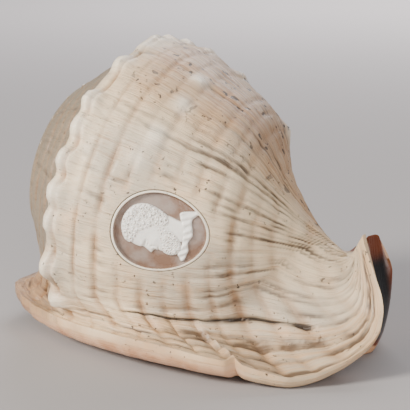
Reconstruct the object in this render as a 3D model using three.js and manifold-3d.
// A helmet shell lying on its aperture, with an oval cameo carved in its flank.
// Millimetres, +Z up. +X points to the canal end, -Y to the outer lip.

import * as THREE from 'three';
import { mergeVertices } from 'three/addons/utils/BufferGeometryUtils.js';
import Module from 'manifold-3d';

// Coiling: an angle of 90 is on top, 180 in front, 270 below.
const growthPerTurn = 1.65;
const lipAngle = 225; // the angle at which a whorl has its full size
const axisTilt = 12.8; // how far the canal end of the axis dips
const axisStart = new THREE.Vector3(-84.5, 0, 83.2);

// Body whorl: distance along the axis and radius, from the suture to the neck.
const bodyProfile = [
  [12.8, 48.6], [28.2, 62.3], [44.1, 76.1], [57.2, 87.1], [79.1, 87.2],
  [107.3, 77.6], [137.3, 62], [160, 31], [190, 0.5],
];
const shoulderPlace = 0.375; // where the knob row lies on that profile
const knobSpacing = 17;
const knobHeight = 4;
const knobReach = 0.05;

// Where the body whorl turns into the flared lip, and where the shield leaves it.
const lipStartAngles = [208, 208, 208, 208, 207, 205, 205, 207, 205, 175, 125];
const shieldAngles = [-100, -80, -50, -32, -28, -28, -28, -20, 0, 35, 65];

// Lines along the aperture, each from the spire end to the canal end.
const lipRim = [
  [-97, -6, 14.5], [-95, -32, 13.5], [-78, -49, 12], [-57, -61, 10.5], [-32, -72, 10.5], [-4, -81, 11.5],
  [30, -88, 12.5], [64, -85.5, 10], [94, -68, 4.5], [112, -32, 22], [90, -8, 57.4],
];
const lipFoot = [
  [-95, 0, 14], [-88, -22, 10], [-72, -36, 5], [-54, -43, 1], [-33, -46, -1], [-7, -48, -2],
  [25, -50, -2], [59, -53, -2], [89, -52, -1], [109, -28, 20], [91, -6, 58],
];
const lipEdge = [
  [-92, 6, 15], [-82, -16, 12], [-68, -28, 8], [-52, -35, 6.5], [-32, -38, 5.5], [-8, -38, 5],
  [22, -38, 5], [54, -37, 5], [84, -34, 5.5], [106, -22, 22], [90, -4, 57],
];
const channelBed = [
  [-91, 10, 16], [-78, -18, 20], [-66, -36, 34], [-50, -46, 42], [-30, -44, 40], [-5, -37, 39],
  [24, -32, 34], [52, -27, 32], [76, -17, 31], [88, -4, 34], [86, 3, 53],
];
const columellaEdge = [
  [-91, 14, 16], [-80, -5, 12], [-66, -16, 8], [-51, -21, 6.5], [-32, -24, 5.5], [-8, -24, 5],
  [22, -23, 5], [55, -21, 5], [85, -19, 5], [95, -3, 16], [86, 8, 54],
];
const shieldFoot = [
  [-90, 20, 17], [-82, 19, 10], [-68, 23, 5], [-52, 29, 0], [-33, 36, -2], [-10, 40, -2],
  [18, 37, -2], [50, 24, -1.5], [88, -2, -1.5], [96, 0, 10], [87, 13, 54],
];
const shieldRim = [
  [-90, 24, 20], [-84, 42, 14], [-71, 55, 9], [-54, 64, 6], [-34, 69, 4.5], [-10, 71, 4],
  [18, 67, 3], [48, 54, 4], [80, 30, 6], [95, 17, 34], [88.5, 15.5, 52],
];
const channelHalfWidths = [1, 3, 5, 6, 6.5, 7, 7.5, 7.5, 6, 5, 3];
const rimHeight = 4; // thickness of the rims above their widest line

// Hollow of the last two turns, as axis distance and radius.
const hollowProfile = [
  [30, 56], [46, 72], [58, 81], [79, 81.5], [107, 72], [135, 58], [151, 36], [158, 24],
  [157, 14], [130, 14], [110, 18], [97, 28], [83, 40], [65, 49], [48, 54.5], [36, 54.5],
];
const hollowAngles = [-495, 218];

// Spire: one turn's profile, the start of its cone and the depth of its foot.
const spireEdge = [28, 47.5];
const spireProfile = [
  spireEdge.map((size) => size / growthPerTurn), [20.5, 38], [23.5, 45], [25.2, 47.4], spireEdge,
];
const spireStart = -9;
const spireTurns = 3;
const spireSkirt = 14;
const spireFoot = 60;

// Cameo: an oval sunk in the front of the body whorl, with a head left standing in it.
const cameoSize = { length: 46, height: 38, depth: 2.4, tilt: -10 };
const cameoCentre = { angle: 177.7, t: 0.642 };
const cameoSlope = { angle: -0.207, t: 0.0041 }; // change per millimetre towards the canal
const cameoClimb = { angle: -0.788, t: -0.0006 }; // change per millimetre upwards
const cameoOvals = [
  { at: [-6, 1], half: [9, 9.5], proud: 2 },
  { at: [-1, -6], half: [8, 7], proud: 1.7 },
  { at: [6, 2], half: [7, 6], proud: 1.5 },
  { at: [12, 1], half: [4.5, 8], proud: 1.2 },
];
const cutterStandOff = 6;

const counts = {
  stations: 40, dome: 27, flare: 6, roll: 4, shieldTop: 6, turn: 24, cameoRings: 9, cameoSpokes: 32,
};

const radians = THREE.MathUtils.degToRad;
const across = new THREE.Vector3(0, 1, 0);
const along = new THREE.Vector3(Math.cos(radians(axisTilt)), 0, -Math.sin(radians(axisTilt)));
const upward = new THREE.Vector3(Math.sin(radians(axisTilt)), 0, Math.cos(radians(axisTilt)));

function whorlScale(angle) {
  return growthPerTurn ** ((angle - lipAngle) / 360);
}

// A smooth curve through equally spaced knots of any dimension.
function through(knots, t) {
  const last = knots.length - 1;
  const place = THREE.MathUtils.clamp(t, 0, 1) * last;
  const i = Math.min(Math.floor(place), last - 1);
  const f = place - i;
  const a = knots[Math.max(i - 1, 0)];
  const d = knots[Math.min(i + 2, last)];
  return knots[i].map((b, k) => {
    const c = knots[i + 1][k];
    const square = 2 * a[k] - 5 * b + 4 * c - d[k];
    const cube = 3 * (b - c) + d[k] - a[k];
    return b + 0.5 * f * (c - a[k] + f * (square + f * cube));
  });
}

function pointOn(line, t) {
  return new THREE.Vector3(...through(line, t));
}

// The point at a given angle round the axis, distance along it and radius from it.
function aroundAxis(angle, distance, radius) {
  return axisStart.clone()
    .addScaledVector(along, distance)
    .addScaledVector(across, radius * Math.cos(radians(angle)))
    .addScaledVector(upward, radius * Math.sin(radians(angle)));
}

function knob(angle, t) {
  const row = Math.exp(-(((t - shoulderPlace) / knobReach) ** 2));
  const peak = Math.cos(Math.PI * (angle - lipAngle) / knobSpacing) ** 2;
  return knobHeight * row * peak;
}

function bodyPoint(angle, t) {
  const [distance, radius] = through(bodyProfile, t);
  const scale = whorlScale(angle);
  return aroundAxis(angle, distance * scale, (radius + knob(angle, t)) * scale);
}

function valueAt(values, t) {
  return through(values.map((value) => [value]), t)[0];
}

// Cubic from a to b that leaves along startWay and arrives along endWay.
function blendPoints(a, startWay, b, endWay, count) {
  const length = a.distanceTo(b);
  const points = [];
  for (let i = 1; i <= count; i++) {
    const u = i / count;
    const rise = u * u * (3 - 2 * u);
    points.push(a.clone().multiplyScalar(1 - rise)
      .addScaledVector(b, rise)
      .addScaledVector(startWay, length * u * (1 - u) ** 2)
      .addScaledVector(endWay, length * (u - 1) * u * u));
  }
  return points;
}

// Quarter ellipse that leaves a level and ends upright at b, or the other way round.
function quarterRound(a, b, count, uprightFirst) {
  const points = [];
  for (let i = 1; i <= count; i++) {
    const turn = i / count * Math.PI / 2;
    const level = uprightFirst ? 1 - Math.cos(turn) : Math.sin(turn);
    const height = uprightFirst ? Math.sin(turn) : 1 - Math.cos(turn);
    const point = a.clone().lerp(b, level);
    point.z = THREE.MathUtils.lerp(a.z, b.z, height);
    points.push(point);
  }
  return points;
}

function surfaceWay(angle, t, sign) {
  return bodyPoint(angle + sign, t).sub(bodyPoint(angle, t)).normalize();
}

// Outwards at a rim, and steeply upwards at the tip of the canal.
function outwardFrom(point, t) {
  return new THREE.Vector3(point.x * 0.6, point.y, 0).normalize().setZ(1.6 * t ** 8);
}

// One closed line round the shell: dome, flared lip, aperture channel, shield, back up.
function stationLoop(t) {
  const start = valueAt(shieldAngles, t);
  const end = valueAt(lipStartAngles, t);
  const loop = [];
  for (let i = 0; i <= counts.dome; i++) {
    loop.push(bodyPoint(THREE.MathUtils.lerp(start, end, i / counts.dome), t));
  }
  const rim = pointOn(lipRim, t);
  const rimTop = rim.clone().setZ(rim.z + rimHeight * (1 - t * t));
  const foot = pointOn(lipFoot, t);
  loop.push(...blendPoints(loop.at(-1), surfaceWay(end, t, 1), rimTop, outwardFrom(rim, t), counts.flare));
  const roll = rim.clone().lerp(foot, 0.25);
  roll.z = THREE.MathUtils.lerp(rim.z, foot.z, 0.6);
  loop.push(rim, ...quarterRound(rim, roll, counts.roll, true), foot);

  const edge = pointOn(lipEdge, t);
  const columella = pointOn(columellaEdge, t);
  const bed = pointOn(channelBed, t);
  const halfWidth = valueAt(channelHalfWidths, t);
  const sideways = edge.clone().sub(columella).setLength(halfWidth);
  loop.push(...quarterRound(foot, edge, counts.roll, false));
  loop.push(bed.clone().add(sideways), bed.clone().sub(sideways), columella);

  const shieldLow = pointOn(shieldFoot, t);
  const margin = pointOn(shieldRim, t);
  const marginTop = margin.clone().setZ(margin.z + rimHeight * (1 - t * t));
  loop.push(...quarterRound(columella, shieldLow, counts.roll, true));
  loop.push(...quarterRound(shieldLow, margin, counts.roll, false));
  const leave = outwardFrom(margin, t).negate();
  const rise = blendPoints(marginTop, leave, loop[0], surfaceWay(start, t, 1), counts.shieldTop);
  loop.push(marginTop, ...rise.slice(0, -1));
  loop.forEach((point) => point.setZ(Math.max(point.z, 0)));
  return loop;
}

// Triangles over a bent end loop, worked out in the plane that fits it best.
function capFaces(loop) {
  const normal = new THREE.Vector3();
  loop.forEach((point, i) => {
    normal.add(point.clone().cross(loop[(i + 1) % loop.length]));
  });
  const turn = new THREE.Quaternion().setFromUnitVectors(normal.normalize(), new THREE.Vector3(0, 0, 1));
  const flat = loop.map((point) => {
    const turned = point.clone().applyQuaternion(turn);
    return new THREE.Vector2(turned.x, turned.y);
  });
  return THREE.ShapeUtils.triangulateShape(flat, []);
}

// Closed mesh through a row of loops that have the same number of points.
function loft(loops) {
  const size = loops[0].length;
  const faces = [];
  for (let i = 0; i < loops.length - 1; i++) {
    for (let j = 0; j < size; j++) {
      const a = i * size + j;
      const b = i * size + (j + 1) % size;
      faces.push([a, b, b + size], [a, b + size, a + size]);
    }
  }
  const lastStart = (loops.length - 1) * size;
  capFaces(loops[0]).forEach(([a, b, c]) => faces.push([a, c, b]));
  capFaces(loops.at(-1)).forEach((face) => faces.push(face.map((corner) => corner + lastStart)));
  return meshFrom(loops.flat(), faces);
}

// Geometry with shared corners merged and its faces turned outwards.
function meshFrom(points, faces) {
  const loose = new THREE.BufferGeometry();
  const corners = points.flatMap((point) => point.toArray());
  loose.setAttribute('position', new THREE.Float32BufferAttribute(corners, 3));
  loose.setIndex(faces.flat());
  const merged = mergeVertices(loose, 1e-4);
  const index = merged.getIndex().array;
  const kept = [];
  for (let i = 0; i < index.length; i += 3) {
    const [a, b, c] = index.slice(i, i + 3);
    if (a !== b && b !== c && c !== a) {
      kept.push(a, b, c);
    }
  }
  merged.setIndex(signedVolume(merged, kept) < 0 ? kept.reverse() : kept);
  return merged;
}

function signedVolume(geometry, index) {
  const position = geometry.getAttribute('position');
  const corners = [new THREE.Vector3(), new THREE.Vector3(), new THREE.Vector3()];
  let volume = 0;
  for (let i = 0; i < index.length; i += 3) {
    corners.forEach((corner, k) => corner.fromBufferAttribute(position, index[i + k]));
    volume += corners[0].dot(corners[1].cross(corners[2])) / 6;
  }
  return volume;
}

function bodyMesh() {
  const loops = [];
  for (let i = 0; i <= counts.stations; i++) {
    loops.push(stationLoop(i / counts.stations));
  }
  return loft(loops);
}

function hollowMesh() {
  const [first, last] = hollowAngles;
  const steps = Math.round((last - first) / 360 * counts.turn);
  const loops = [];
  for (let i = 0; i <= steps; i++) {
    const angle = THREE.MathUtils.lerp(first, last, i / steps);
    const scale = whorlScale(angle);
    loops.push(hollowProfile.map(([distance, radius]) => (
      aroundAxis(angle, distance * scale, radius * scale)
    )));
  }
  return loft(loops);
}

// The spire's winding strip meets itself turn by turn; a skirt closes it inside the body.
function spireMesh() {
  const steps = spireTurns * counts.turn;
  const size = spireProfile.length;
  const points = [];
  const faces = [];
  for (let i = 0; i <= steps; i++) {
    const angle = lipAngle - 360 * (steps - i) / counts.turn;
    const scale = whorlScale(angle);
    spireProfile.forEach(([distance, radius]) => {
      points.push(aroundAxis(angle, spireStart + distance * scale, radius * scale));
    });
  }
  for (let i = 0; i < steps; i++) {
    for (let j = 0; j < size - 1; j++) {
      const a = i * size + j;
      faces.push([a, a + 1, a + size + 1], [a, a + size + 1, a + size]);
    }
  }
  const border = [];
  for (let i = steps - counts.turn; i <= steps; i++) {
    border.push(i * size + size - 1);
  }
  for (let j = size - 2; j > 0; j--) {
    border.push(steps * size + j);
  }
  const apex = points.push(aroundAxis(0, spireStart, 0)) - 1;
  for (let i = 0; i < counts.turn; i++) {
    faces.push([i * size, (i + 1) * size, apex]);
  }
  for (let j = 0; j < size - 1; j++) {
    faces.push([j + 1, j, apex]);
  }
  const skirt = border.map((k) => points.push(points[k].clone().addScaledVector(along, spireSkirt)) - 1);
  const foot = points.push(aroundAxis(0, spireFoot, 0)) - 1;
  border.forEach((corner, i) => {
    const next = (i + 1) % border.length;
    faces.push([border[next], corner, skirt[i]], [border[next], skirt[i], skirt[next]]);
    faces.push([skirt[next], skirt[i], foot]);
  });
  return meshFrom(points, faces);
}

// A point of the cameo field, so many millimetres ahead, up and below the surface.
function cameoPoint(ahead, up, depth) {
  const angle = cameoCentre.angle + cameoSlope.angle * ahead + cameoClimb.angle * up;
  const t = cameoCentre.t + cameoSlope.t * ahead + cameoClimb.t * up;
  const point = bodyPoint(angle, t);
  const round = bodyPoint(angle + 1, t).sub(point);
  const onward = bodyPoint(angle, t + 0.01).sub(point);
  return point.addScaledVector(round.cross(onward).normalize(), -depth);
}

function cameoDepth(ahead, up) {
  const rises = cameoOvals.map(({ at, half, proud }) => {
    const away = ((ahead - at[0]) / half[0]) ** 2 + ((up - at[1]) / half[1]) ** 2;
    return proud * Math.sqrt(Math.max(1 - away * away, 0));
  });
  return cameoSize.depth - Math.max(...rises);
}

// What the carver took away: an oval dish whose floor has the head standing on it.
function cameoMesh() {
  const spokes = counts.cameoSpokes;
  const tilt = radians(cameoSize.tilt);
  const points = [];
  const faces = [];
  const addRing = (share, depthAt) => {
    for (let j = 0; j < spokes; j++) {
      const turn = 2 * Math.PI * j / spokes;
      const x = share * cameoSize.length / 2 * Math.cos(turn);
      const y = share * cameoSize.height / 2 * Math.sin(turn);
      const ahead = x * Math.cos(tilt) - y * Math.sin(tilt);
      const up = x * Math.sin(tilt) + y * Math.cos(tilt);
      points.push(cameoPoint(ahead, up, depthAt(ahead, up)));
    }
  };
  addRing(1, () => -cutterStandOff);
  for (let i = counts.cameoRings; i > 0; i--) {
    addRing(i / counts.cameoRings, cameoDepth);
  }
  const lid = points.push(cameoPoint(0, 0, -cutterStandOff)) - 1;
  const floor = points.push(cameoPoint(0, 0, cameoDepth(0, 0))) - 1;
  for (let j = 0; j < spokes; j++) {
    const next = (j + 1) % spokes;
    faces.push([lid, j, next]);
    for (let i = 0; i < counts.cameoRings; i++) {
      const a = i * spokes + j;
      const b = i * spokes + next;
      faces.push([a, a + spokes, b + spokes], [a, b + spokes, b]);
    }
    const inner = counts.cameoRings * spokes;
    faces.push([floor, inner + next, inner + j]);
  }
  return meshFrom(points, faces);
}

const wasm = await Module();
wasm.setup();

function solidFrom(geometry) {
  const vertProperties = new Float32Array(geometry.getAttribute('position').array);
  const triVerts = new Uint32Array(geometry.getIndex().array);
  return new wasm.Manifold(new wasm.Mesh({ numProp: 3, vertProperties, triVerts }));
}

function geometryFrom(solid) {
  const mesh = solid.getMesh();
  const geometry = new THREE.BufferGeometry();
  geometry.setAttribute('position', new THREE.Float32BufferAttribute(mesh.vertProperties, 3));
  geometry.setIndex(new THREE.Uint32BufferAttribute(mesh.triVerts, 1));
  geometry.computeVertexNormals();
  return geometry;
}

const grown = solidFrom(bodyMesh()).add(solidFrom(spireMesh())).subtract(solidFrom(hollowMesh()));
const carved = grown.subtract(solidFrom(cameoMesh()));

const shell = new THREE.Mesh(
  geometryFrom(carved),
  new THREE.MeshStandardMaterial({ color: 0xd6c8b6, roughness: 0.45, metalness: 0 }),
);
shell.name = 'shell';

// The origin goes to the middle of the outline, on the surface that the shell lies on.
shell.geometry.computeBoundingBox();
const box = shell.geometry.boundingBox;
shell.position.set(-(box.min.x + box.max.x) / 2, -(box.min.y + box.max.y) / 2, -box.min.z);

const object = new THREE.Group();
object.add(shell);

export default object;
